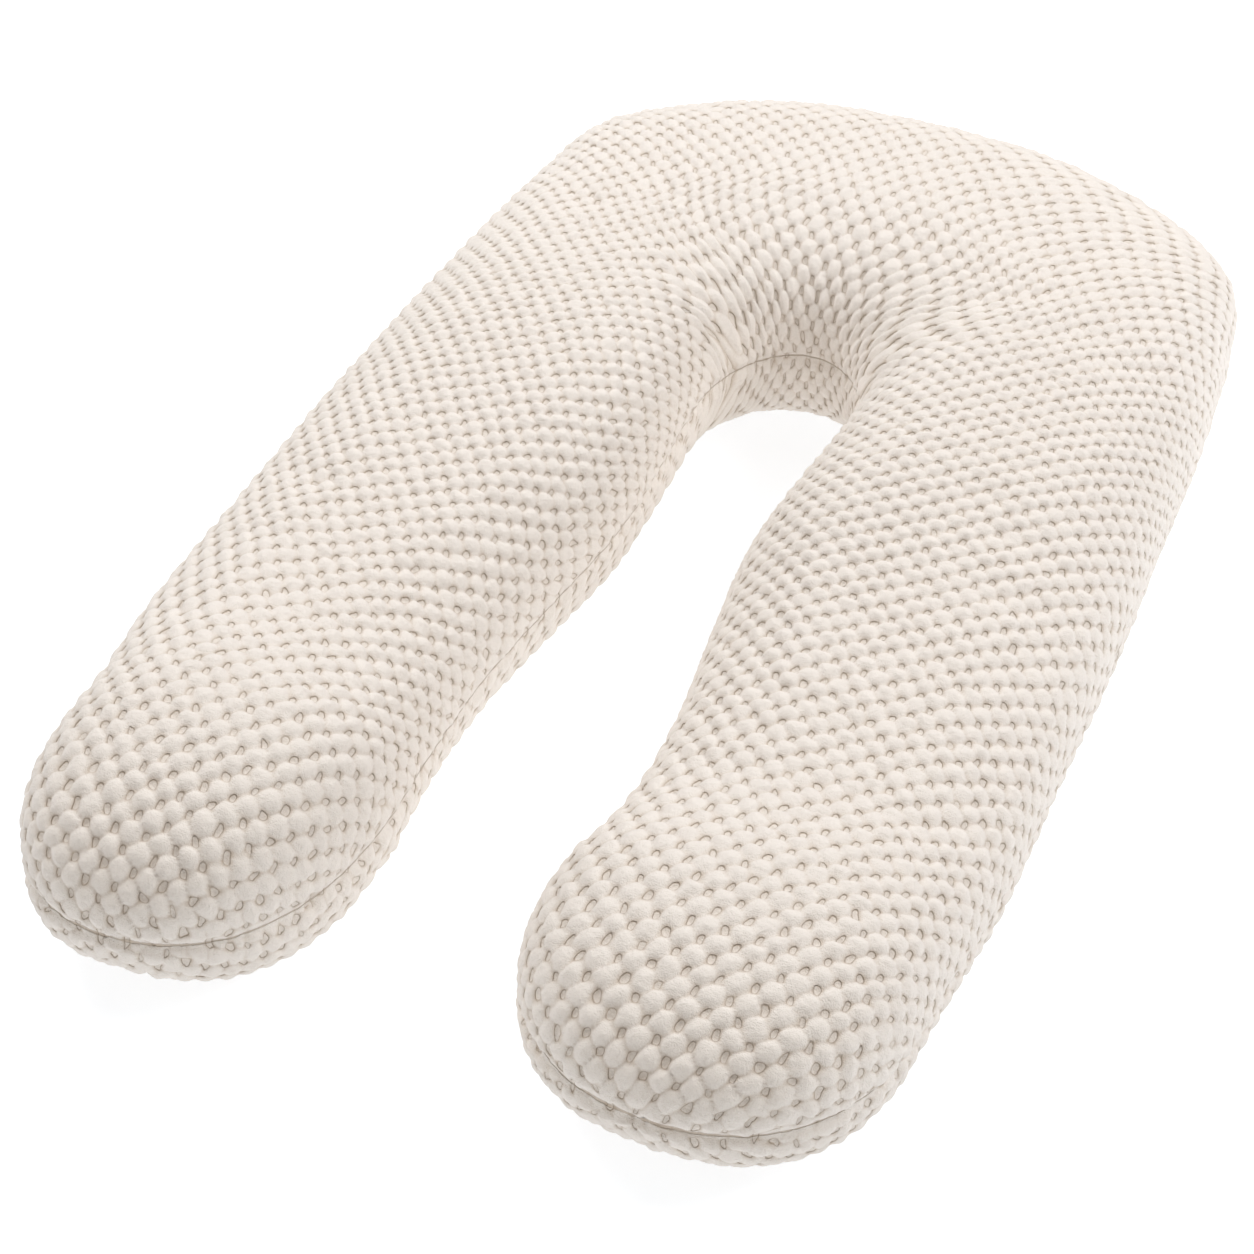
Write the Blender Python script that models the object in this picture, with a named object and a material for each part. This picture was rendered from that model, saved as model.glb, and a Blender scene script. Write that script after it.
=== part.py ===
"""A U-shaped pregnancy pillow, modelled as one filled cloth form.

Two long legs with round ends run out of a deep round bend. The top panel and the bottom
panel meet in one seam, which goes round the whole outline at the height of the sides.
Metres, +Z up. The legs end at -Y, the bend is at +Y, and the underside lies on z = 0.
"""

import math

import bmesh
import bpy
from mathutils import Vector

LENGTH = 1.45  # from the legs' ends to the far edge of the bend
TIP_LENGTH = 0.19  # the round end of each leg
TIP_ROUNDNESS = 2.18  # superellipse power: 2 is a plain ellipse, more is squarer
BEND_ROUNDNESS = 2.1  # the same, for the bend's outer corners
ARCH_TOP = 1.01  # from the legs' ends to the crown of the inner arch
BEND_HEIGHT = 0.235  # thickness at the middle of the bend
SIDE_FULLNESS = 0.72  # power of the cross section: 1 is an ellipse, less is fuller
SAG = 0.014  # how far the filled form is pressed flat on its underside
SEAM_DEPTH = 0.005  # how far the seam draws the side in

LEG_STEPS = 4  # rings between two rows of the table
BEND_STEPS = 14
TIP_STEPS = 10

# The right leg, from where its round end begins to where the bend begins. Each row is a
# section from the inner side to the outer side. y is the distance from the legs' ends,
# x the distance from the middle of the gap, and the bend fans the last rows out.
COLUMNS = ("inner_y", "inner_x", "outer_y", "outer_x", "height")
SECTIONS = (
    (0.190, 0.075, 0.190, 0.378, 0.176),
    (0.314, 0.088, 0.362, 0.401, 0.152),
    (0.430, 0.090, 0.540, 0.408, 0.155),
    (0.547, 0.076, 0.718, 0.412, 0.170),
    (0.663, 0.064, 0.896, 0.407, 0.194),
    (0.780, 0.070, 1.074, 0.403, 0.208),
    (0.896, 0.081, 1.252, 0.394, 0.214),
)

# Degrees round a cross section, from the outer seam over the top to the inner seam and
# back under. The points crowd at both seams, so that the crease stays narrow.
TOP_ANGLES = (0, 3, 12, 24, 38, 54, 72, 90, 108, 126, 142, 156, 168, 177)
UNDER_ANGLES = (180, 183, 192, 208, 228, 250, 270, 290, 312, 332, 348, 357)
OUTER_SEAM = 0
INNER_SEAM = len(TOP_ANGLES)

COVER_COLOUR = (0.84, 0.78, 0.71, 1.0)


def clear_scene():
    for old in list(bpy.data.objects):
        bpy.data.objects.remove(old, do_unlink=True)


def rounded(degrees, power):
    """Cosine and sine of an angle on a superellipse: a smaller power gives a squarer one."""
    turn = math.radians(degrees)
    values = []
    for value in (math.cos(turn), math.sin(turn)):
        size = 0.0 if abs(value) < 1e-9 else abs(value) ** power
        values.append(math.copysign(size, value))
    return values


def section(row):
    """A table row as the section's inner point, outer point and height."""
    value = dict(zip(COLUMNS, row))
    inner = Vector((value["inner_x"], value["inner_y"]))
    outer = Vector((value["outer_x"], value["outer_y"]))
    return inner, outer, value["height"]


def curve_through(before, start, end, after, t):
    """A Catmull-Rom curve's value at t between start and end."""
    bend = 2 * before - 5 * start + 4 * end - after
    twist = 3 * start - before - 3 * end + after
    return start + 0.5 * t * ((end - before) + t * (bend + t * twist))


def leg_rows():
    """The table's rows with smooth rows between them."""
    first, second = SECTIONS[0], SECTIONS[1]
    before_first = [2 * a - b for a, b in zip(first, second)]
    last = dict(zip(COLUMNS, SECTIONS[-1]))
    previous = dict(zip(COLUMNS, SECTIONS[-2]))
    # Past the last row, y and height run on evenly and the sides run straight.
    after_last = [
        previous[name] if name.endswith("_x") else 2 * last[name] - previous[name]
        for name in COLUMNS
    ]
    known = [before_first, *SECTIONS, after_last]
    rows = []
    for i in range(1, len(SECTIONS)):
        for step in range(LEG_STEPS):
            t = step / LEG_STEPS
            rows.append([curve_through(*four, t) for four in zip(*known[i - 1 : i + 3])])
    rows.append(SECTIONS[-1])
    return rows


def bend_rows():
    """A quarter turn of sections, from the last table row to the middle of the bend."""
    start = dict(zip(COLUMNS, SECTIONS[-1]))
    rows = []
    for step in range(1, BEND_STEPS + 1):
        angle = 90 * step / BEND_STEPS
        across, along = rounded(angle, 2 / BEND_ROUNDNESS)
        arch_across, arch_along = rounded(angle, 1)
        rise = math.sin(math.radians(angle))
        rows.append(
            (
                start["inner_y"] + (ARCH_TOP - start["inner_y"]) * arch_along,
                start["inner_x"] * arch_across,
                start["outer_y"] + (LENGTH - start["outer_y"]) * along,
                start["outer_x"] * across,
                start["height"] + (BEND_HEIGHT - start["height"]) * rise,
            )
        )
    return rows


def ring(inner, outer, height, scale=1.0, shift=0.0):
    """One closed cross section, drawn smaller and shifted towards -Y in a leg's round end."""
    centre = (inner + outer) / 2 - Vector((0, shift))
    half = (outer - inner) / 2 * scale
    middle = (height + SAG) / 2
    points = []
    for degrees in TOP_ANGLES + UNDER_ANGLES:
        across, up = rounded(degrees, SIDE_FULLNESS)
        spot = centre + half * across
        z = max(middle * (1 + up * scale) - SAG, 0)
        points.append(Vector((spot.x, spot.y - LENGTH / 2, z)))
    return points


def tip_rings(inner, outer, height):
    """The leg's round end, from its pole to just short of the first section."""
    rings = []
    for step in range(TIP_STEPS - 1, 0, -1):
        scale, reach = rounded(90 * step / TIP_STEPS, 2 / TIP_ROUNDNESS)
        rings.append(ring(inner, outer, height, scale, TIP_LENGTH * reach))
    return rings


def draw_in_seam(rings, seam, towards):
    """Moves a seam's points level and square to the outline, towards the other seam."""
    line = [points[seam].copy() for points in rings]
    for i, points in enumerate(rings[:-1]):
        ahead, behind = line[i + 1], line[max(i - 1, 0)]
        along = ahead - behind
        inward = Vector((-along.y, along.x, 0)).normalized()
        if inward.dot(points[towards] - points[seam]) < 0:
            inward = -inward
        points[seam] += inward * SEAM_DEPTH
    # The last ring lies on the mirror plane, so its seam points only move along Y.
    last = rings[-1]
    step = SEAM_DEPTH if last[towards].y > line[-1].y else -SEAM_DEPTH
    last[seam].y += step


def half_pillow():
    """The right half as a mesh, open at x = 0."""
    inner, outer, height = section(SECTIONS[0])
    rings = tip_rings(inner, outer, height)
    for row in leg_rows() + bend_rows():
        rings.append(ring(*section(row)))
    for point in rings[-1]:
        point.x = 0
    draw_in_seam(rings, OUTER_SEAM, INNER_SEAM)
    draw_in_seam(rings, INNER_SEAM, OUTER_SEAM)

    mesh = bmesh.new()
    loops = [[mesh.verts.new(point) for point in points] for points in rings]
    count = len(rings[0])
    for near, far in zip(loops, loops[1:]):
        for i in range(count):
            j = (i + 1) % count
            mesh.faces.new((near[i], near[j], far[j], far[i]))
    middle = (height + SAG) / 2 - SAG
    centre = (inner + outer) / 2
    pole = mesh.verts.new((centre.x, -LENGTH / 2 + SEAM_DEPTH, middle))
    for i in range(count):
        mesh.faces.new((pole, loops[0][(i + 1) % count], loops[0][i]))
    bmesh.ops.recalc_face_normals(mesh, faces=mesh.faces)
    return mesh


def plush_material():
    material = bpy.data.materials.new("IvoryPlush")
    material.use_nodes = True
    shader = material.node_tree.nodes["Principled BSDF"]
    shader.inputs["Base Color"].default_value = COVER_COLOUR
    shader.inputs["Roughness"].default_value = 0.9
    shader.inputs["Metallic"].default_value = 0.0
    shader.inputs["Sheen Weight"].default_value = 0.4
    return material


def make_pillow():
    half = half_pillow()
    mesh = bpy.data.meshes.new("Pillow")
    half.to_mesh(mesh)
    half.free()
    mesh.materials.append(plush_material())
    mesh.shade_smooth()
    mesh.set_sharp_from_angle(angle=math.radians(50))
    pillow = bpy.data.objects.new("Pillow", mesh)
    bpy.context.scene.collection.objects.link(pillow)
    mirror = pillow.modifiers.new("Mirror", "MIRROR")
    mirror.merge_threshold = 0.0001
    return pillow


clear_scene()
make_pillow()
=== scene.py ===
import math

import bpy
import numpy as np
from mathutils import Matrix, Vector


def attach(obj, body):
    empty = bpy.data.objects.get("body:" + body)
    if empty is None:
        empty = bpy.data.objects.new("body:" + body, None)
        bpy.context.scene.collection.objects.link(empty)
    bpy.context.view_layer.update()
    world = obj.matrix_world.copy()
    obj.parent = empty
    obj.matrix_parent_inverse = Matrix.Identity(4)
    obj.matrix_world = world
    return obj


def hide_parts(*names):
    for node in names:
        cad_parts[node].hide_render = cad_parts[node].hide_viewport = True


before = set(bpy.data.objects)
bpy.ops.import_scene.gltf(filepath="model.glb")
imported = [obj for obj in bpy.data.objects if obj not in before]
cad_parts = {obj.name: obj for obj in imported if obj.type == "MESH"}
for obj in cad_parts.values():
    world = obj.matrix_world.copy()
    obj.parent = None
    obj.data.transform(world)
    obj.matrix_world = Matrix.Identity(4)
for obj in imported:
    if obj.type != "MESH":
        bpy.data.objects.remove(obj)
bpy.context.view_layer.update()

scene = bpy.context.scene

cameraView = {
    "azimuth": 20.81,
    "elevation": 38.12,
    "roll": 3.18,
    "distance": 2.264,
    "target": (-0.016, -0.176, 0.079),
    "focalPixels": 2466.5,  # in the photograph's 1254 pixel frame
    "framePixels": 1254,
    "sensor": 36.0,
}


def placeCamera(view):
    az, el, roll = (math.radians(view[name]) for name in ("azimuth", "elevation", "roll"))
    back = Vector((math.sin(az) * math.cos(el), -math.cos(az) * math.cos(el), math.sin(el)))
    right = Vector((math.cos(az), math.sin(az), 0))
    up = back.cross(right)
    turnedRight = right * math.cos(roll) + up * math.sin(roll)
    turnedUp = up * math.cos(roll) - right * math.sin(roll)
    data = bpy.data.cameras.new("ProductCamera")
    data.sensor_width = view["sensor"]
    data.lens = view["focalPixels"] / view["framePixels"] * view["sensor"]
    camera = bpy.data.objects.new("ProductCamera", data)
    place = Vector(view["target"]) + back * view["distance"]
    turn = Matrix((turnedRight, turnedUp, back)).transposed().to_4x4()
    camera.matrix_world = Matrix.Translation(place) @ turn
    scene.collection.objects.link(camera)
    scene.camera = camera


placeCamera(cameraView)
print("camera placed")

# The filled form, before its cloth is worked

pillowSizes = {
    "length": 1.45,  # from the legs' ends to the far edge of the bend
    "archTop": 1.014,  # crown of the inner arch, from the legs' ends
    "bendHeight": 0.238,
    "bendRoundness": 2.1,  # superellipse power of the outer corners
    "tipRoundness": 2.18,
    "sideFullness": 0.70,  # 1 is an ellipse, less is fuller
    "sag": 0.014,  # how far the fill is pressed flat underneath
    "legRings": 92,
    "bendRings": 44,
    "tipRings": 18,
    "ringSmoothing": 14,
    "topPoints": 46,  # across the top, seam to seam
    "sidePoints": 15,  # from a seam down to the flat underside
    "underPoints": 8,  # across the flat underside
    "underTurn": 58,  # degrees round the section from a seam to the flat underside
}

# One row for each section of a leg: innerY, innerX, outerY, outerX and height. Y is the
# distance from the legs' ends, X the distance from the gap's middle.
legSections = {
    "right": (
        (0.195, 0.064, 0.190, 0.384, 0.164),
        (0.312, 0.077, 0.367, 0.398, 0.142),
        (0.429, 0.077, 0.544, 0.401, 0.149),
        (0.546, 0.064, 0.721, 0.406, 0.164),
        (0.662, 0.056, 0.898, 0.404, 0.190),
        (0.779, 0.068, 1.075, 0.404, 0.202),
        (0.896, 0.081, 1.252, 0.394, 0.212),
    ),
    "left": (
        (0.199, 0.086, 0.179, 0.372, 0.187),
        (0.315, 0.099, 0.358, 0.405, 0.162),
        (0.431, 0.102, 0.537, 0.416, 0.160),
        (0.548, 0.088, 0.716, 0.418, 0.176),
        (0.664, 0.071, 0.894, 0.410, 0.199),
        (0.780, 0.073, 1.073, 0.402, 0.214),
        (0.896, 0.081, 1.252, 0.394, 0.216),
    ),
}
tipShort = {"right": 0.015, "left": 0.0}  # how far each tip stops short of the longer one
tipDrift = {"right": -0.008, "left": 0.005}  # how far each tip's end strays sideways
firstTipRing = 0.35  # of a step from the pole


def power(value, exponent):
    return np.sign(value) * np.abs(value) ** exponent


def smoothRows(rows, count):
    # Catmull-Rom through the table; sides and height run level at both of its ends
    rows = np.array(rows)
    level = [1, 3, 4]  # the columns innerX, outerX and height
    before = 2 * rows[0] - rows[1]
    before[level] = rows[1][level]
    after = 2 * rows[-1] - rows[-2]
    after[level] = rows[-2][level]
    known = np.vstack([before, rows, after])
    made = []
    for place in np.linspace(0, len(rows) - 1, count, endpoint=False):
        i = int(place)
        t = place - i
        a, b, c, d = known[i : i + 4]
        bend = 2 * a - 5 * b + 4 * c - d
        twist = 3 * b - a - 3 * c + d
        made.append(b + 0.5 * t * ((c - a) + t * (bend + t * twist)))
    return made


def bendRows(start, count):
    size = pillowSizes
    made = []
    for angle in np.linspace(0, math.pi / 2, count + 1)[:-1]:
        reach = math.sin(angle) ** (2 / size["bendRoundness"])
        spread = math.cos(angle) ** (2 / size["bendRoundness"])
        rise = math.sin(angle) ** 2
        made.append(
            np.array([
                start[0] + (size["archTop"] - start[0]) * math.sin(angle),
                start[1] * math.cos(angle),
                start[2] + (size["length"] - start[2]) * reach,
                start[3] * spread,
                start[4] + (size["bendHeight"] - start[4]) * rise,
            ])
        )
    return made


def ringAngles():
    size = pillowSizes
    turn = math.radians(size["underTurn"])
    top = np.linspace(0, math.pi, size["topPoints"] + 1)[:-1]
    side = np.linspace(0, turn, size["sidePoints"] + 1)[:-1]
    under = np.linspace(turn, math.pi - turn, size["underPoints"] + 1)
    back = 2 * math.pi - side[:0:-1]
    return np.concatenate([top, math.pi + side, math.pi + under, back])


def ringPoints(row, side, angles, scale=1.0, shift=(0.0, 0.0)):
    size = pillowSizes
    inner = np.array([row[1] * side, row[0]])
    outer = np.array([row[3] * side, row[2]])
    centre = (inner + outer) / 2 + np.array(shift)
    half = (outer - inner) / 2
    middle = (row[4] + size["sag"]) / 2
    across = power(np.cos(angles), size["sideFullness"])
    up = power(np.sin(angles), size["sideFullness"])
    spots = centre + np.outer(across * scale, half)
    heights = middle * (1 + up * scale) - size["sag"]
    return np.column_stack([spots[:, 0], spots[:, 1] - size["length"] / 2, heights])


def evenAngles(row, angles):
    # spreads the points evenly along the cloth on the top, the sides and the underside
    fine = np.linspace(0, 2 * math.pi, 1441)  # a quarter of a degree apart
    points = ringPoints(row, 1, fine)
    steps = np.linalg.norm(np.diff(points, axis=0), axis=1)
    along = np.concatenate([[0], np.cumsum(steps)])
    turn = math.radians(pillowSizes["underTurn"])
    stops = [0, math.pi, math.pi + turn, 2 * math.pi - turn, 2 * math.pi]
    made = np.empty_like(angles)
    for low, high in zip(stops, stops[1:]):
        inside = (angles >= low - 1e-9) & (angles < high - 1e-9)
        share = (angles[inside] - low) / (high - low)
        ends = np.interp([low, high], fine, along)
        made[inside] = np.interp(ends[0] + share * (ends[1] - ends[0]), along, fine)
    return made


def makeRings():
    # cross sections from the left tip, round the bend, to the right tip
    size = pillowSizes
    angles = ringAngles()
    halves = {}
    for name, side in (("left", -1), ("right", 1)):
        table = legSections[name]
        first = np.array(table[0])
        tipLength = (first[0] + first[2]) / 2 - tipShort[name]
        rings = []
        for step in range(size["tipRings"], 0, -1):
            turn = math.pi / 2 * (step - firstTipRing) / size["tipRings"]
            scale = math.cos(turn) ** (2 / size["tipRoundness"])
            reach = math.sin(turn) ** (2 / size["tipRoundness"])
            rings.append((first, side, scale, (tipDrift[name] * reach, -tipLength * reach)))
        rows = smoothRows(table, size["legRings"]) + bendRows(table[-1], size["bendRings"])
        rings += [(row, side, 1.0, (0.0, 0.0)) for row in rows]
        halves[name] = rings
    middle = np.array([size["archTop"], 0.0, size["length"], 0.0, size["bendHeight"]])
    order = halves["left"] + [(middle, 1, 1.0, (0.0, 0.0))] + halves["right"][::-1]
    made = []
    for row, side, scale, shift in order:
        made.append(ringPoints(row, side, evenAngles(row, angles), scale, shift))
    return np.array(made)


def smoothAlong(rings, times):
    # evens out the legs' sections without drawing the tips in
    size = pillowSizes
    index = np.arange(len(rings))
    fromEnd = np.minimum(index, len(rings) - 1 - index)
    weight = np.clip((fromEnd - size["tipRings"] / 2) / size["tipRings"], 0, 1)[:, None, None]
    for _ in range(times):
        mean = rings.copy()
        mean[1:-1] = (rings[:-2] + 2 * rings[1:-1] + rings[2:]) / 4
        rings = rings + weight * (mean - rings)
    return rings


rings = smoothAlong(makeRings(), pillowSizes["ringSmoothing"])
rings[:, :, 2] = np.maximum(rings[:, :, 2], 0)
ringCount, roundCount = rings.shape[:2]
outerSeam = 0
innerSeam = pillowSizes["topPoints"]
print("sections laid out", ringCount, "x", roundCount)

# Where each point of the cover lies on the flat cloth, whose grain runs along the legs

grain = {
    "archStretch": 0.16,  # how much shorter than its way down to the arch the cloth is cut
    "gather": 0.36,  # cloth drawn together across the bend
    "gatherAt": 0.36,  # in Y
    "gatherReach": 0.24,
    "gatherWidth": 0.28,
    "fanCentre": 0.19,  # in Y: round the arch the columns fan out from this point
    "fanRadius": 0.18,
    "fanReach": (0.12, 0.30),  # the fan fades out between these distances
    "fanTurn": (35, 90),  # and between these degrees from the middle
    "turnFrom": 0.7,  # the cross direction begins to follow the sections here on the legs
    "turnWithin": 0.7,  # and follows them fully this far round the bend
    "leanFrom": 0.32,  # in Y: the lean and the cloth's way are counted from here
    "leanReach": (0.06, 0.30),  # from the middle, between the legs and more past the arch
    "leanWidens": (0.22, 0.45),  # in Y
    "tiltReach": 0.12,
    "legMiddle": 0.24,  # in X: rows tilt about this line
}

# How many metres of cloth there are in a metre of pillow along Y: place, rate
clothAlong = (
    (-1.0, 0.98), (-0.45, 0.98), (-0.25, 1.12), (-0.05, 1.22), (0.15, 1.32),
    (0.28, 1.12), (0.40, 0.92), (0.60, 0.86), (1.2, 0.95),
)
# How the columns of bumps lean sideways, and the rows along the leg: place, lean
columnLean = {
    "left": (
        (-1.0, -0.10), (-0.45, -0.10), (-0.30, 0.06), (0.0, 0.12), (0.12, 0.05),
        (0.25, -0.12), (0.50, -0.18),
    ),
    "right": (
        (-1.0, 0.02), (-0.10, 0.02), (0.10, 0.20), (0.30, 0.24), (0.50, 0.24), (0.80, 0.20),
    ),
}
rowTilt = {
    "left": (
        (-1.0, 0.0), (-0.50, 0.0), (-0.30, 0.30), (0.0, 0.34), (0.12, 0.16), (0.24, 0.0),
    ),
    "right": (
        (-1.0, -0.15), (-0.60, -0.10), (-0.38, 0.14), (-0.18, 0.10), (0.0, -0.12),
        (0.12, -0.20), (0.30, 0.0),
    ),
}


def smoothStep(values, low, high):
    share = np.clip((values - low) / (high - low), 0, 1)
    return share * share * (3 - 2 * share)


def summedUp(table, y):
    # a table's values added up along Y, from just past the arch
    places, rates = np.array(table).T
    fine = np.linspace(-1.2, 1.2, 600)
    total = np.cumsum(np.interp(fine, places, rates)) * (fine[1] - fine[0])
    return np.interp(y, fine, total) - np.interp(grain["leanFrom"], fine, total)


def stepsBetween(points, way):
    # lengths of the steps round each section, square to the grain
    loops = np.concatenate([points, points[:, :1]], axis=1)
    steps = np.diff(loops, axis=1)
    level = np.einsum("ijk,ik->ij", steps[:, :, :2], way)
    return np.sqrt(level**2 + steps[:, :, 2] ** 2)


def domeWay(offset, half, length, lift, rise, floorAt, onTop):
    # cloth's way from a round end's crown down to a point at this offset in plan
    size = pillowSizes
    spread = np.abs(offset) / np.array([half, length])
    share = np.clip((spread ** size["tipRoundness"]).sum(axis=1), 1e-9, 1)
    share = share ** (1 / size["tipRoundness"])
    away = np.linalg.norm(offset, axis=1)
    reach = away / share
    forward = (offset[:, 1] / np.maximum(away, 1e-9)) ** 2
    fullness = size["sideFullness"] * (1 - forward) + 2 / size["tipRoundness"] * forward
    # near the crown the place in plan says how far round the point is, near the seam its height
    end = np.arccos(share ** (1 / fullness))
    steep = np.arcsin(np.clip(lift, 0, 1) ** (1 / fullness))
    end += smoothStep(share, 0.55, 0.9) * (steep - end)
    turn = math.pi / 2 + (end - math.pi / 2)[:, None] * np.linspace(0, 1, 80)
    level = reach[:, None] * np.abs(np.cos(turn)) ** fullness[:, None]
    height = rise * np.sin(turn) ** fullness[:, None]
    height = np.where(onTop[:, None], height, np.minimum(height, floorAt))
    way = np.hypot(np.diff(level, axis=1), np.diff(height, axis=1)).sum(axis=1)
    return offset * (way / np.maximum(away, 1e-9))[:, None]


def flatCloth(rings):
    size = pillowSizes
    total, count = rings.shape[:2]
    onTop = np.arange(count) <= innerSeam
    inner, outer = rings[:, innerSeam, :2], rings[:, outerSeam, :2]
    centre = (inner + outer) / 2
    across = outer - inner
    across /= np.linalg.norm(across, axis=1)[:, None]
    index = np.arange(total)
    fromEnd = np.minimum(index, total - 1 - index)
    sides = np.where(index < total / 2, -1.0, 1.0)
    start = size["tipRings"] + size["legRings"] * grain["turnFrom"]
    end = size["tipRings"] + size["legRings"] + size["bendRings"] * grain["turnWithin"]
    turnIn = smoothStep(fromEnd, start, end)[:, None]
    way = np.column_stack([sides, np.zeros(total)]) * (1 - turnIn) + across * turnIn
    way /= np.linalg.norm(way, axis=1)[:, None]
    beside = np.column_stack([-way[:, 1], way[:, 0]])
    along = np.cumsum(np.pad(stepsBetween(rings, way), ((0, 0), (1, 0))), axis=1)
    topHalf = along[:, innerSeam] / 2
    low = (along[:, innerSeam] + along[:, -1]) / 2
    around = along[:, :-1]
    signed = np.where(onTop, topHalf[:, None] - around, around - low[:, None])
    signed *= np.where(signed < 0, 1 - grain["archStretch"] * turnIn, 1)
    kept = np.einsum("ijk,ik->ij", rings[:, :, :2] - centre[:, None], beside)
    flat = centre[:, None] + signed[:, :, None] * way[:, None]
    flat += kept[:, :, None] * beside[:, None]
    # over a round end the cloth runs straight on, down to the seam
    near, far = size["tipRings"], total - size["tipRings"]
    for ends, first in ((range(near), near), (range(far, total), far - 1)):
        middle = centre[first]
        half = abs(outer[first, 0] - inner[first, 0]) / 2
        pole = rings[0 if first < total / 2 else -1, :, 1].mean()
        rise = (rings[first, :, 2].max() + size["sag"]) / 2
        for i in ends:
            offset = rings[i, :, :2] - middle
            offset[:, 1] = np.minimum(offset[:, 1], 0)
            lift = np.abs(rings[i, :, 2] + size["sag"] - rise) / rise
            reach = abs(middle[1] - pole)
            flat[i] = middle + domeWay(
                offset, half, reach, lift, rise, rise - size["sag"], onTop
            )
    x, y = flat[:, :, 0].copy(), flat[:, :, 1].copy()
    close = np.exp(-(((y - grain["gatherAt"]) / grain["gatherReach"]) ** 2))
    drawn = grain["gatherWidth"] * np.tanh(x / grain["gatherWidth"])
    flat[:, :, 0] += grain["gather"] * close * drawn
    planX, planY = rings[:, :, 0], rings[:, :, 1] - grain["fanCentre"]
    turn = np.degrees(np.arctan2(planX, planY))
    fan = 1 - smoothStep(np.hypot(planX, planY), *grain["fanReach"])
    fan *= 1 - smoothStep(np.abs(turn), *grain["fanTurn"])
    flat[:, :, 0] += fan * (grain["fanRadius"] * np.radians(turn) - flat[:, :, 0])
    flat[:, :, 1] = summedUp(clothAlong, y)
    for name, side in (("left", -1), ("right", 1)):
        out = x * side
        low, more = grain["leanReach"]
        reach = low + more * smoothStep(y, *grain["leanWidens"])
        flat[:, :, 0] -= smoothStep(out, 0.0, reach) * summedUp(columnLean[name], y)
        tilt = np.interp(y, *np.array(rowTilt[name]).T)
        tilt *= smoothStep(out, 0.0, grain["tiltReach"])
        flat[:, :, 1] += tilt * (x - side * grain["legMiddle"])
    return flat


def seamWay(rings):
    # how far each point lies from the nearer seam, along the cloth
    loops = np.concatenate([rings, rings[:, :1]], axis=1)
    steps = np.linalg.norm(np.diff(loops, axis=1), axis=2)
    along = np.cumsum(np.pad(steps, ((0, 0), (1, 0))), axis=1)
    here, end = along[:, :-1], along[:, -1:]
    toInner = np.abs(here - along[:, innerSeam : innerSeam + 1])
    return np.minimum(np.minimum(here, end - here), toInner)


flat = flatCloth(rings)
fromSeam = seamWay(rings)
print("grain laid out")


def linkMesh(name, mesh):
    made = bpy.data.objects.new(name, mesh)
    scene.collection.objects.link(made)
    return made


def joinRings(rings, flat, fromSeam):
    total, count = rings.shape[:2]
    i, j = np.meshgrid(np.arange(total - 1), np.arange(count), indexing="ij")
    i, j = i.ravel(), j.ravel()
    k = (j + 1) % count
    here, ahead = i * count, (i + 1) * count
    quads = np.column_stack([here + j, here + k, ahead + k, ahead + j])
    points = rings.reshape(-1, 3)
    poles = np.array([rings[0].mean(axis=0), rings[-1].mean(axis=0)])
    poleFlat = np.array([flat[0].mean(axis=0), flat[-1].mean(axis=0)])
    first, last = total * count, total * count + 1
    step = np.arange(count)
    turned = (step + 1) % count
    base = (total - 1) * count
    fans = [(first, b, a) for a, b in zip(step.tolist(), turned.tolist())]
    fans += [(last, base + a, base + b) for a, b in zip(step.tolist(), turned.tolist())]
    mesh = bpy.data.meshes.new("PillowForm")
    mesh.from_pydata(np.vstack([points, poles]).tolist(), [], quads.tolist() + fans)
    mesh.update()
    layer = mesh.attributes.new("flatCloth", "FLOAT_VECTOR", "POINT")
    both = np.vstack([flat.reshape(-1, 2), poleFlat])
    values = np.column_stack([both, np.zeros(len(both))])
    layer.data.foreach_set("vector", values.astype(np.float32).ravel())
    away = mesh.attributes.new("fromSeam", "FLOAT", "POINT")
    away.data.foreach_set("value", np.append(fromSeam.ravel(), [0, 0]).astype(np.float32))
    section = mesh.attributes.new("section", "INT", "FACE")
    pole = np.concatenate([np.zeros(count, int), np.full(count, total - 2)])
    section.data.foreach_set("value", np.concatenate([i, pole]).astype(np.int32))
    return mesh


def meshPoints(mesh):
    points = np.empty(len(mesh.vertices) * 3, np.float32)
    mesh.vertices.foreach_get("co", points)
    return points.reshape(-1, 3).astype(float)


def meshNormals(mesh):
    normals = np.empty(len(mesh.vertices) * 3, np.float32)
    mesh.vertex_normals.foreach_get("vector", normals)
    return normals.reshape(-1, 3).astype(float)


def setPoints(mesh, points):
    mesh.vertices.foreach_set("co", points.astype(np.float32).ravel())
    mesh.update()


formMesh = joinRings(rings, flat, fromSeam)
form = linkMesh("PillowForm", formMesh)

# The fill swells the cloth, which the seam holds in

fillValues = {
    "pressure": 4.0,
    "frames": 20,
    "startIn": 0.007,  # the form starts this much smaller
    "spareCloth": -0.01,  # the cloth is this much larger than the form
    "cap": 0.012,  # no point moves further than this
    "evening": 40,  # waves that this many smoothing passes leave are no folds
    "strength": 0.55,
    "quality": 5,
    "mass": 0.3,
    "tension": 15,
    "shear": 5,
    "bending": 0.5,
}


def evenOut(values, passes):
    for _ in range(passes):
        values = (np.roll(values, 1, 1) + 2 * values + np.roll(values, -1, 1)) / 4
        ends = np.vstack([values[:1], values, values[-1:]])
        values = (ends[:-2] + 2 * values + ends[2:]) / 4
    return values


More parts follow.
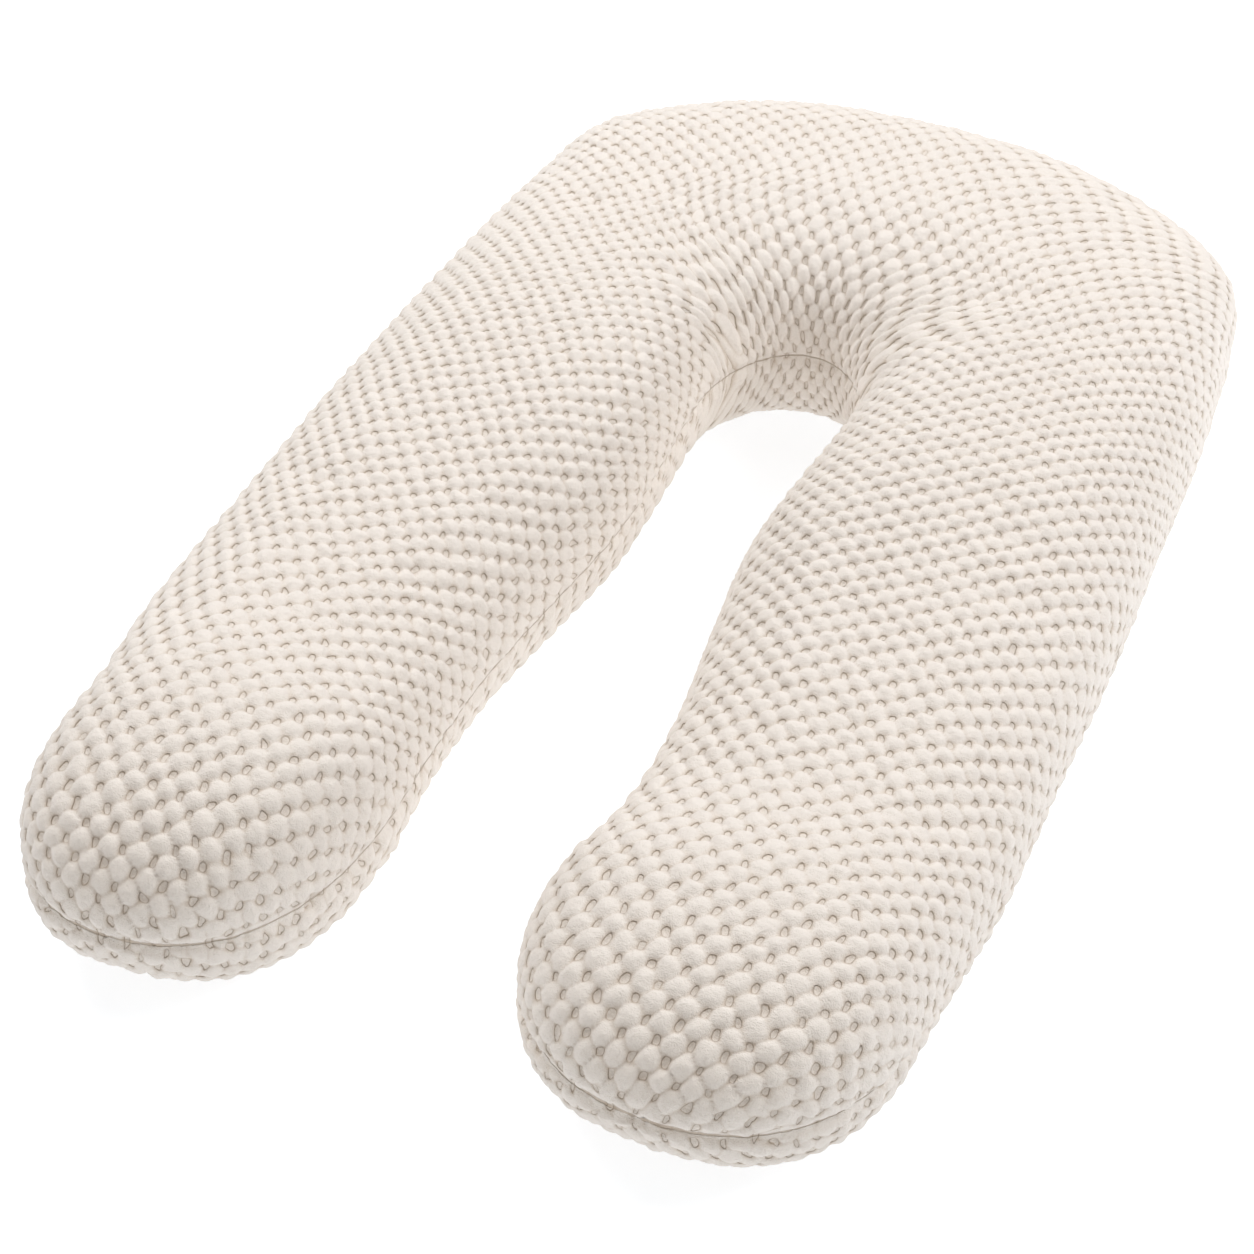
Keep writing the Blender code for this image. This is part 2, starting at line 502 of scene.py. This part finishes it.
def swell(form, values):
    mesh = form.data
    start, normals = meshPoints(mesh), meshNormals(mesh)
    shrunk = start - normals * values["startIn"]
    shrunk[:, 2] = np.maximum(shrunk[:, 2], 0)
    setPoints(mesh, shrunk)
    starts = np.arange(ringCount)[:, None] * roundCount
    seams = (starts + np.array([outerSeam, innerSeam])).ravel()
    hold = form.vertex_groups.new(name="seamHold")
    hold.add(seams.tolist(), 1.0, "REPLACE")
    cloth = form.modifiers.new("Fill", "CLOTH")
    settings = cloth.settings
    settings.quality = values["quality"]
    settings.mass = values["mass"]
    settings.tension_stiffness = values["tension"]
    settings.compression_stiffness = values["tension"]
    settings.shear_stiffness = values["shear"]
    settings.bending_stiffness = values["bending"]
    settings.use_pressure = True
    settings.uniform_pressure_force = values["pressure"]
    settings.shrink_min = values["spareCloth"]
    settings.vertex_group_mass = "seamHold"
    settings.effector_weights.gravity = 0
    cloth.collision_settings.use_collision = False
    cloth.point_cache.frame_start = 1
    cloth.point_cache.frame_end = values["frames"]
    for number in range(1, values["frames"] + 1):
        scene.frame_set(number)
    graph = bpy.context.evaluated_depsgraph_get()
    moved = meshPoints(form.evaluated_get(graph).data)
    form.modifiers.remove(cloth)
    scene.frame_set(1)
    # the pillow keeps its measured outline, and takes only the folds and the seam's crease
    out = np.einsum("ij,ij->i", moved - start, normals)
    grid = np.clip(out[:-2].reshape(ringCount, roundCount), -values["cap"], values["cap"])
    folds = grid - evenOut(grid, values["evening"])
    made = start.copy()
    made[:-2] += normals[:-2] * folds.reshape(-1, 1) * values["strength"]
    made[:, 2] = np.maximum(made[:, 2], 0)
    setPoints(mesh, made)
    print("cloth swelled, folds up to", round(float(folds.max()) * 1000, 1), "mm")


swell(form, fillValues)

# Cloth relief: domed bumps on a lattice, with a small flat pocket between each four

reliefValues = {
    "Pitch Across": 0.0270,
    "Pitch Along": 0.0285,
    "Bump Height": 0.0060,
    "Bump Radius": 0.0129,
    "Pocket Half Width": 0.0026,
    "Pocket Half Length": 0.0039,
    "Wander": 0.0016,  # how far bumps stray from the lattice
    "Seam Crease": 0.0042,
    "Seed": 7.0,
}
noiseScales = {"wander": 26.0, "ripple": 90.0, "patches": 44.0, "tufts": 150.0, "pile": 900.0}
bumpShape = {
    "blend": 0.14,  # how softly two bumps run together
    "lowest": 0.14,  # of a bump's height, between two bumps
    "pocketDepth": 0.12,
    "level": 0.59,  # this share of a bump's height lies on the measured outline
    "wanderGain": 4.0,
    "rippleGain": (6.8, 3.8),  # beside the seam, which puckers the cloth, and away from it
    "puckerReach": 0.10,
    "seamReach": (0.01, 0.09),  # bumps are lower between these distances from the seam
    "seamShare": 0.6,  # of their height, at the seam
    "creaseWidth": 0.011,
    "creasePull": 0.014,  # how unevenly the seam draws the cloth in
    "pressedUpTo": (0.002, 0.042),  # in Z
}


class TreeMaker:
    # joins maths nodes in a geometry or a shader tree
    def __init__(self, tree):
        self.tree = tree

    def node(self, kind, **settings):
        made = self.tree.nodes.new(kind)
        for name, value in settings.items():
            setattr(made, name, value)
        return made

    def put(self, socket, value):
        if isinstance(value, bpy.types.NodeSocket):
            self.tree.links.new(value, socket)
        else:
            socket.default_value = value

    def maths(self, operation, *values):
        made = self.node("ShaderNodeMath", operation=operation)
        for socket, value in zip(made.inputs, values):
            self.put(socket, value)
        return made.outputs[0]

    def vector(self, operation, *values):
        made = self.node("ShaderNodeVectorMath", operation=operation)
        for socket, value in zip(made.inputs, values):
            self.put(socket, value)
        return made.outputs[0]

    def smooth(self, value, low, high, start=0.0, end=1.0):
        made = self.node("ShaderNodeMapRange", interpolation_type="SMOOTHSTEP")
        names = ("Value", "From Min", "From Max", "To Min", "To Max")
        for name, given in zip(names, (value, low, high, start, end)):
            self.put(made.inputs[name], given)
        return made.outputs["Result"]

    def noise(self, place, scale, detail):
        made = self.node("ShaderNodeTexNoise", noise_dimensions="3D")
        self.put(made.inputs["Vector"], place)
        made.inputs["Scale"].default_value = scale
        made.inputs["Detail"].default_value = detail
        return made

    def scaled(self, vector, scale):
        made = self.node("ShaderNodeVectorMath", operation="SCALE")
        self.put(made.inputs[0], vector)
        self.put(made.inputs["Scale"], scale)
        return made.outputs[0]


def fromLattice(maker, across, along, pitchAcross, pitchAlong, offAcross, offAlong):
    # the way to the nearest point of one lattice, in metres
    ways = []
    for place, pitch, off in ((across, pitchAcross, offAcross), (along, pitchAlong, offAlong)):
        cell = maker.maths("SUBTRACT", maker.maths("DIVIDE", place, pitch), off)
        part = maker.maths("SUBTRACT", cell, maker.maths("ROUND", cell))
        ways.append(maker.maths("MULTIPLY", part, pitch))
    return ways


def domeHeight(maker, way, radius):
    squares = maker.maths("ADD", *(maker.maths("MULTIPLY", part, part) for part in way))
    share = maker.maths("DIVIDE", squares, maker.maths("MULTIPLY", radius, radius))
    return maker.maths("SUBTRACT", 1.0, share)


def pocketMask(maker, across, along, pitches, halves, edge=(2.2, 0.5)):
    # 1 inside the small rounded pockets that lie between each four bumps
    masks = []
    for off in ((0.5, 0.0), (0.0, 0.5)):
        way = fromLattice(maker, across, along, *pitches, *off)
        shares = [
            maker.maths("ABSOLUTE", maker.maths("DIVIDE", part, half))
            for part, half in zip(way, halves)
        ]
        total = maker.maths("ADD", *(maker.maths("POWER", share, 2.6) for share in shares))
        masks.append(maker.smooth(total, *edge))
    return maker.maths("MAXIMUM", *masks)


def reliefTree():
    tree = bpy.data.node_groups.new("PlushRelief", "GeometryNodeTree")
    face = tree.interface
    face.new_socket("Geometry", in_out="INPUT", socket_type="NodeSocketGeometry")
    for name in reliefValues:
        face.new_socket(name, in_out="INPUT", socket_type="NodeSocketFloat")
    face.new_socket("Cloth", in_out="INPUT", socket_type="NodeSocketMaterial")
    face.new_socket("Geometry", in_out="OUTPUT", socket_type="NodeSocketGeometry")
    maker = TreeMaker(tree)
    given = maker.node("NodeGroupInput").outputs
    flatAttribute = maker.node("GeometryNodeInputNamedAttribute", data_type="FLOAT_VECTOR")
    flatAttribute.inputs["Name"].default_value = "flatCloth"
    place = flatAttribute.outputs["Attribute"]

    seamAttribute = maker.node("GeometryNodeInputNamedAttribute", data_type="FLOAT")
    seamAttribute.inputs["Name"].default_value = "fromSeam"
    away = seamAttribute.outputs["Attribute"]

    seeded = maker.node("ShaderNodeCombineXYZ")
    maker.put(seeded.inputs["Z"], given["Seed"])
    noisePlace = maker.vector("ADD", place, seeded.outputs[0])
    pucker = maker.smooth(away, 0.0, bumpShape["puckerReach"], *bumpShape["rippleGain"])
    gains = {"wander": (2.0, bumpShape["wanderGain"]), "ripple": (0.0, pucker)}
    strayed = place
    for name, (detail, gain) in gains.items():
        noise = maker.noise(noisePlace, noiseScales[name], detail)
        centred = maker.vector("SUBTRACT", noise.outputs["Color"], (0.5, 0.5, 0.5))
        stray = maker.scaled(centred, maker.maths("MULTIPLY", given["Wander"], gain))
        strayed = maker.vector("ADD", strayed, stray)
    parts = maker.node("ShaderNodeSeparateXYZ")
    maker.put(parts.inputs[0], strayed)
    across, along = parts.outputs["X"], parts.outputs["Y"]
    pitches = (given["Pitch Across"], given["Pitch Along"])

    domes = []
    for off in (0.0, 0.5):
        way = fromLattice(maker, across, along, *pitches, off, off)
        domes.append(domeHeight(maker, way, given["Bump Radius"]))
    crest = maker.maths("SMOOTH_MAX", *domes, bumpShape["blend"])
    crest = maker.maths("MAXIMUM", crest, bumpShape["lowest"])
    # here and there a pocket stays shallow, so that its bumps run together
    patches = maker.noise(noisePlace, noiseScales["patches"], 1.0).outputs["Fac"]
    depth = maker.smooth(patches, 0.32, 0.44, 0.3, 1.0)
    halves = (given["Pocket Half Width"], given["Pocket Half Length"])
    pocket = maker.maths("MULTIPLY", pocketMask(maker, across, along, pitches, halves), depth)
    sunk = maker.maths("MULTIPLY", pocket, bumpShape["pocketDepth"])
    height = maker.maths("SUBTRACT", crest, sunk)
    stored = maker.node("ShaderNodeCombineXYZ")
    for socket, value in zip(stored.inputs, (across, along, depth)):
        maker.put(socket, value)

    swelling = maker.smooth(patches, 0.3, 0.7, 0.86, 1.1)
    raised = maker.maths("MULTIPLY", height, swelling)
    raised = maker.maths("SUBTRACT", raised, bumpShape["level"])
    raised = maker.maths("MULTIPLY", raised, given["Bump Height"])
    # pressed flat where the pillow lies on the surface, and held down beside the seam
    position = maker.node("GeometryNodeInputPosition")
    spot = maker.node("ShaderNodeSeparateXYZ")
    maker.put(spot.inputs[0], position.outputs[0])
    clear = maker.smooth(spot.outputs["Z"], *bumpShape["pressedUpTo"])
    beside = maker.maths(
        "MULTIPLY",
        maker.smooth(away, 0.0, 0.006),
        maker.smooth(away, *bumpShape["seamReach"], bumpShape["seamShare"], 1.0),
    )
    raised = maker.maths("MULTIPLY", maker.maths("MULTIPLY", raised, clear), beside)
    pull = maker.maths("SUBTRACT", patches, 0.5)
    pull = maker.maths("ADD", away, maker.maths("MULTIPLY", pull, bumpShape["creasePull"]))
    crease = maker.smooth(pull, bumpShape["creaseWidth"], 0.0)
    crease = maker.maths("MULTIPLY", crease, given["Seam Crease"])
    raised = maker.maths("SUBTRACT", raised, crease)
    offset = maker.scaled(maker.node("GeometryNodeInputNormal").outputs[0], raised)
    cover = given["Geometry"]
    for name, kind, value in (
        ("bumpPlace", "FLOAT_VECTOR", stored.outputs[0]),
        ("relief", "FLOAT", height),
    ):
        store = maker.node("GeometryNodeStoreNamedAttribute", data_type=kind, domain="POINT")
        store.inputs["Name"].default_value = name
        maker.put(store.inputs["Value"], value)
        maker.put(store.inputs["Geometry"], cover)
        cover = store.outputs[0]
    move = maker.node("GeometryNodeSetPosition")
    realize = maker.node("GeometryNodeRealizeInstances")
    finish = maker.node("GeometryNodeSetMaterial")
    maker.put(move.inputs["Geometry"], cover)
    maker.put(move.inputs["Offset"], offset)
    maker.put(realize.inputs[0], move.outputs[0])
    maker.put(finish.inputs["Geometry"], realize.outputs[0])
    maker.put(finish.inputs["Material"], given["Cloth"])
    maker.put(maker.node("NodeGroupOutput").inputs[0], finish.outputs[0])
    return tree


plushValues = {
    "lit": (0.905, 0.842, 0.775, 1.0),
    # painted shade: the darker, warmer colour put in the creases between bumps; lit is the
    # colour of the crests
    "deep": (0.60, 0.49, 0.38, 1.0),
    # painted shadow: the dark ring round each pocket; the seam's dark line takes this colour
    # too
    "rimShade": (0.52, 0.41, 0.30, 1.0),
    "roughness": 0.95,
    "sheen": 0.12,
    "sheenTint": (0.95, 0.93, 1.0, 1.0),
    "sheenRoughness": 0.4,
    "specular": 0.15,
    "tuftColour": 0.30,  # how much the tufts and the pile vary the lightness
    "pileColour": 0.45,
    "tuftDepth": 0.0016,
    "pileDepth": 0.0009,
    "pocketDepth": 0.0014,
    "lineDepth": 0.0012,
    "rimShadeShare": 0.30,
    "lineShare": 0.6,
    "lineWidth": (0.0011, 0.0003),
    "lineStray": 0.0016,
}


def mixColour(maker, factor, first, second):
    mix = maker.node("ShaderNodeMix", data_type="RGBA")
    maker.put(mix.inputs["Factor"], factor)
    sockets = [socket for socket in mix.inputs if socket.type == "RGBA"]
    maker.put(sockets[0], first)
    maker.put(sockets[1], second)
    return [socket for socket in mix.outputs if socket.type == "RGBA"][0]


def plushMaterial(values):
    material = bpy.data.materials.new("IvoryPlush")
    material.use_nodes = True
    tree = material.node_tree
    maker = TreeMaker(tree)
    shader = tree.nodes["Principled BSDF"]
    shader.inputs["Roughness"].default_value = values["roughness"]
    shader.inputs["Sheen Weight"].default_value = values["sheen"]
    shader.inputs["Sheen Roughness"].default_value = values["sheenRoughness"]
    shader.inputs["Sheen Tint"].default_value = values["sheenTint"]
    shader.inputs["Specular IOR Level"].default_value = values["specular"]
    read = {}
    for name in ("relief", "fromSeam", "bumpPlace"):
        read[name] = maker.node("ShaderNodeAttribute", attribute_name=name).outputs
    relief, seam = read["relief"]["Fac"], read["fromSeam"]["Fac"]
    parts = maker.node("ShaderNodeSeparateXYZ")
    maker.put(parts.inputs[0], read["bumpPlace"]["Vector"])
    across, along, depth = parts.outputs
    pitches = (reliefValues["Pitch Across"], reliefValues["Pitch Along"])
    halves = (reliefValues["Pocket Half Width"], reliefValues["Pocket Half Length"])
    wide = pocketMask(maker, across, along, pitches, halves, (1.5, 0.9))
    inside = pocketMask(maker, across, along, pitches, halves, (1.0, 0.6))
    # painted shadow: a thin dark ring round each pocket, where its steep wall lies in shade
    rimShade = maker.maths("MULTIPLY", maker.maths("SUBTRACT", wide, inside), depth)
    coords = maker.node("ShaderNodeTexCoord").outputs["Object"]
    pile = maker.noise(coords, noiseScales["pile"], 2.0).outputs["Fac"]
    tufts = maker.noise(coords, noiseScales["tufts"], 3.0).outputs["Fac"]
    # painted shade: the creases between bumps are coloured darker and the crests lighter by the
    # relief's height, and the floor of a pocket is light again
    pocketFloor = maker.maths("MULTIPLY", inside, 0.75)
    lightness = maker.maths("MAXIMUM", maker.smooth(relief, -0.05, 0.72), pocketFloor)
    for texture, amount in ((tufts, values["tuftColour"]), (pile, values["pileColour"])):
        change = maker.maths("MULTIPLY", maker.maths("SUBTRACT", texture, 0.5), amount)
        lightness = maker.maths("ADD", lightness, change)
    lightness = maker.maths("MINIMUM", maker.maths("MAXIMUM", lightness, 0.0), 1.0)
    colour = mixColour(maker, lightness, values["deep"], values["lit"])
    uneven = maker.maths("MULTIPLY", maker.maths("SUBTRACT", tufts, 0.5), values["lineStray"])
    line = maker.smooth(maker.maths("ADD", seam, uneven), *values["lineWidth"])
    # the painted pocket-rim shadow, and the seam's dark line
    rimShadeAndSeamLine = maker.maths(
        "MAXIMUM",
        maker.maths("MULTIPLY", rimShade, values["rimShadeShare"]),
        maker.maths("MULTIPLY", line, values["lineShare"]),
    )
    colour = mixColour(maker, rimShadeAndSeamLine, colour, values["rimShade"])
    maker.put(shader.inputs["Base Color"], colour)
    height = maker.maths("MULTIPLY", pile, values["pileDepth"])
    hollow = maker.maths("MULTIPLY", wide, depth)
    for way, part, amount in (
        ("ADD", tufts, values["tuftDepth"]),
        ("SUBTRACT", hollow, values["pocketDepth"]),
        ("SUBTRACT", line, values["lineDepth"]),
    ):
        height = maker.maths(way, height, maker.maths("MULTIPLY", part, amount))
    bump = maker.node("ShaderNodeBump")
    bump.inputs["Strength"].default_value = 1.0
    bump.inputs["Distance"].default_value = 1.0
    maker.put(bump.inputs["Height"], height)
    maker.put(shader.inputs["Normal"], bump.outputs["Normal"])
    return material


plush = plushMaterial(plushValues)


def raiseRelief(form):
    finer = form.modifiers.new("Finer", "SUBSURF")
    finer.levels = 2
    finer.render_levels = 2
    finer.boundary_smooth = "PRESERVE_CORNERS"
    relief = form.modifiers.new("Relief", "NODES")
    relief.node_group = reliefTree()
    items = relief.node_group.interface.items_tree
    sockets = {item.name: item.identifier for item in items if item.in_out == "INPUT"}
    for name, value in reliefValues.items():
        relief[sockets[name]] = value
    relief[sockets["Cloth"]] = plush
    graph = bpy.context.evaluated_depsgraph_get()
    mesh = bpy.data.meshes.new_from_object(
        form.evaluated_get(graph), preserve_all_data_layers=True, depsgraph=graph
    )
    form.modifiers.clear()
    return mesh


cover = raiseRelief(form)
bpy.data.objects.remove(form)
cover.shade_smooth()
print("relief raised on", len(cover.polygons), "faces")

# The cover is cut into lengths, each within the triangles that one piece may have. The
# numbers are the first section of a length and the one past its last.

coverParts = {
    "CoverLeftTip": (0, 56),
    "CoverLeftLeg": (56, 111),
    "CoverBendLeft": (111, 154),
    "CoverBendRight": (154, 197),
    "CoverRightLeg": (197, 252),
    "CoverRightTip": (252, 308),
}


def cutLength(name, cover, span):
    sections = np.empty(len(cover.polygons), np.int32)
    cover.attributes["section"].data.foreach_get("value", sections)
    keep = (sections >= span[0]) & (sections < span[1])
    corners = np.empty(len(cover.loops), np.int32)
    cover.loops.foreach_get("vertex_index", corners)
    quads = corners.reshape(-1, 4)[keep]
    used, fresh = np.unique(quads, return_inverse=True)
    fresh = fresh.reshape(-1, 4)
    points, normals = meshPoints(cover)[used], meshNormals(cover)[used]
    mesh = bpy.data.meshes.new(name)
    mesh.vertices.add(len(used))
    mesh.vertices.foreach_set("co", points.astype(np.float32).ravel())
    mesh.loops.add(len(fresh) * 4)
    mesh.loops.foreach_set("vertex_index", fresh.astype(np.int32).ravel())
    mesh.polygons.add(len(fresh))
    mesh.polygons.foreach_set("loop_start", np.arange(0, len(fresh) * 4, 4, dtype=np.int32))
    mesh.update(calc_edges=True)
    for layer, kind, width in (
        ("relief", "FLOAT", 1),
        ("fromSeam", "FLOAT", 1),
        ("bumpPlace", "FLOAT_VECTOR", 3),
    ):
        key = "value" if width == 1 else "vector"
        values = np.empty(len(cover.vertices) * width, np.float32)
        cover.attributes[layer].data.foreach_get(key, values)
        made = mesh.attributes.new(layer, kind, "POINT")
        made.data.foreach_set(key, values.reshape(-1, width)[used].ravel())
    mesh.materials.append(plush)
    mesh.shade_smooth()
    mesh.normals_split_custom_set_from_vertices(normals.tolist())
    return linkMesh(name, mesh)


pieces = [cutLength(name, cover, span) for name, span in coverParts.items()]
for piece in pieces:
    print(piece.name, len(piece.data.polygons) * 2, "triangles")
    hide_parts("Pillow")
    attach(piece, "root")

# Pale floor and soft studio light

studio = {
    "sky": 0.74,  # from straight above
    "horizon": 0.0,
    "skyColour": (1.0, 0.965, 0.925, 1.0),
    "keyColour": (0.97, 1.0, 1.05),
    "leftKey": 39.0,
    "leftPlace": (-2.0, 0.6, 2.2),
    "rightKey": 38.0,
    "rightPlace": (2.1, 0.9, 2.0),
    "keySize": 1.6,
    "floorGlow": 0.51,
    "floorColour": (0.76, 0.78, 0.80, 1),
    "glowColour": (0.97, 1.0, 1.04, 1),
    "floorReach": 8,
}


def addFloor():
    mesh = bpy.data.meshes.new("PaleFloor")
    far = studio["floorReach"]
    corners = [(-far, -far, 0), (far, -far, 0), (far, far, 0), (-far, far, 0)]
    mesh.from_pydata(corners, [], [(0, 1, 2, 3)])
    floor = linkMesh("PaleFloor", mesh)
    material = bpy.data.materials.new("PaleFloor")
    material.use_nodes = True
    shader = material.node_tree.nodes["Principled BSDF"]
    shader.inputs["Base Color"].default_value = studio["floorColour"]
    shader.inputs["Roughness"].default_value = 1.0
    shader.inputs["Specular IOR Level"].default_value = 0.0
    shader.inputs["Emission Color"].default_value = studio["glowColour"]
    shader.inputs["Emission Strength"].default_value = studio["floorGlow"]
    mesh.materials.append(material)


def addSky():
    world = bpy.data.worlds.new("SoftStudio")
    scene.world = world
    world.use_nodes = True
    maker = TreeMaker(world.node_tree)
    parts = maker.node("ShaderNodeSeparateXYZ")
    maker.put(parts.inputs[0], maker.node("ShaderNodeTexCoord").outputs["Generated"])
    strength = maker.smooth(parts.outputs["Z"], -0.1, 0.9, studio["horizon"], studio["sky"])
    background = world.node_tree.nodes["Background"]
    background.inputs["Color"].default_value = studio["skyColour"]
    maker.put(background.inputs["Strength"], strength)


def addSoftbox(name, energy, place, size):
    data = bpy.data.lights.new(name, "AREA")
    data.shape = "SQUARE"
    data.energy = energy
    data.size = size
    data.color = studio["keyColour"]
    lamp = bpy.data.objects.new(name, data)
    lamp.location = place
    lamp.rotation_euler = Vector(place).to_track_quat("Z", "Y").to_euler()
    scene.collection.objects.link(lamp)


addFloor()
addSky()
addSoftbox("LeftLight", studio["leftKey"], studio["leftPlace"], studio["keySize"])
addSoftbox("RightLight", studio["rightKey"], studio["rightPlace"], studio["keySize"])
scene.view_settings.view_transform = "Standard"
print("studio lit")
